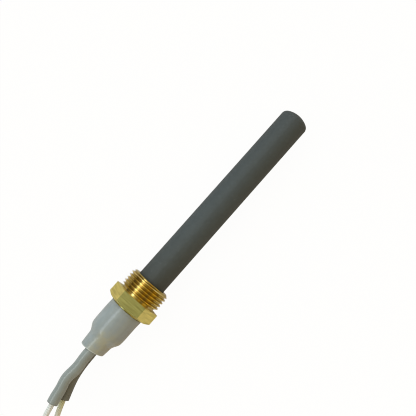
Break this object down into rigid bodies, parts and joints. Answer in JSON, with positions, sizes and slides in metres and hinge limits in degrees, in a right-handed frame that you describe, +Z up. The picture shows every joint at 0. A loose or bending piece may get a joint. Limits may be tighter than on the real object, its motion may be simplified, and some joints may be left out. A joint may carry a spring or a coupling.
{
  "type": "flame sensor probe",
  "caption": "Dark ceramic rod in a threaded brass hexagon fitting, with a grey rear boot and braided leads, screwed into a burner to light or sense its flame.",
  "frame": {"origin": "on the probe's axis at the hexagon's sealing face, thread side", "axes": "+X along the rod towards its tip, the leads leave towards -X, +Z up with one hexagon flat facing down, +Y completes a right-handed frame"},
  "size_m": [0.2003, 0.0501, 0.017],
  "materials": {
    "sheath_ceramic": "matte fired silicon nitride, faint axial scratches",
    "brass": "bright turned brass",
    "cement": "dark matte refractory cement",
    "white_ceramic": "matte white alumina",
    "potting": "matte potting compound",
    "silicone": "soft silicone",
    "powder": "packed white powder",
    "nickel": "drawn nickel",
    "tungsten": "drawn tungsten",
    "boot_grey": "semi-gloss grey heat-shrink",
    "sleeve_grey": "semi-gloss grey heat-shrink",
    "tinned": "tinned copper, satin",
    "insulation": "white silicone rubber",
    "glass_braid": "woven glass yarn, off-white",
    "collar": "grey nylon"
  },
  "bodies": {
    "probe": {"ceramic_sheath": "sheath_ceramic", "brass_fitting": "brass", "front_cement_ring": "cement", "end_plug": "white_ceramic", "rear_potting": "potting", "silicone_plug": "silicone", "powder_fill": "powder", "terminal_pin_a": "nickel", "terminal_pin_b": "nickel", "element_coil_a": "tungsten", "element_coil_b": "tungsten", "element_bridge": "tungsten", "boot": "boot_grey", "splice_sleeve_a": "sleeve_grey", "splice_sleeve_b": "sleeve_grey", "crimp_a": "tinned", "crimp_b": "tinned", "lead_a_conductor": "tinned", "lead_a_insulation": "insulation", "lead_a_braid": "glass_braid", "lead_b_conductor": "tinned", "lead_b_insulation": "insulation", "lead_b_braid": "glass_braid"},
    "lead_a_tail": {"lead_a_tail_braid": "glass_braid", "lead_a_tail_insulation": "insulation", "lead_a_tail_conductor": "tinned", "ferrule_a": "tinned", "ferrule_collar_a": "collar"},
    "lead_b_tail": {"lead_b_tail_braid": "glass_braid", "lead_b_tail_insulation": "insulation", "lead_b_tail_conductor": "tinned", "ferrule_b": "tinned", "ferrule_collar_b": "collar"}
  },
  "joints": [
    {"name": "lead_a_flex", "type": "hinge", "parent": "probe", "child": "lead_a_tail", "pos_m": [-0.04935, -0.00251, 0.00205], "axis": [0, 0, 1], "range_deg": [-25, 25]},
    {"name": "lead_b_flex", "type": "hinge", "parent": "probe", "child": "lead_b_tail", "pos_m": [-0.04681, -0.00459, -0.00205], "axis": [0, 0, 1], "range_deg": [-25, 25]}
  ]
}
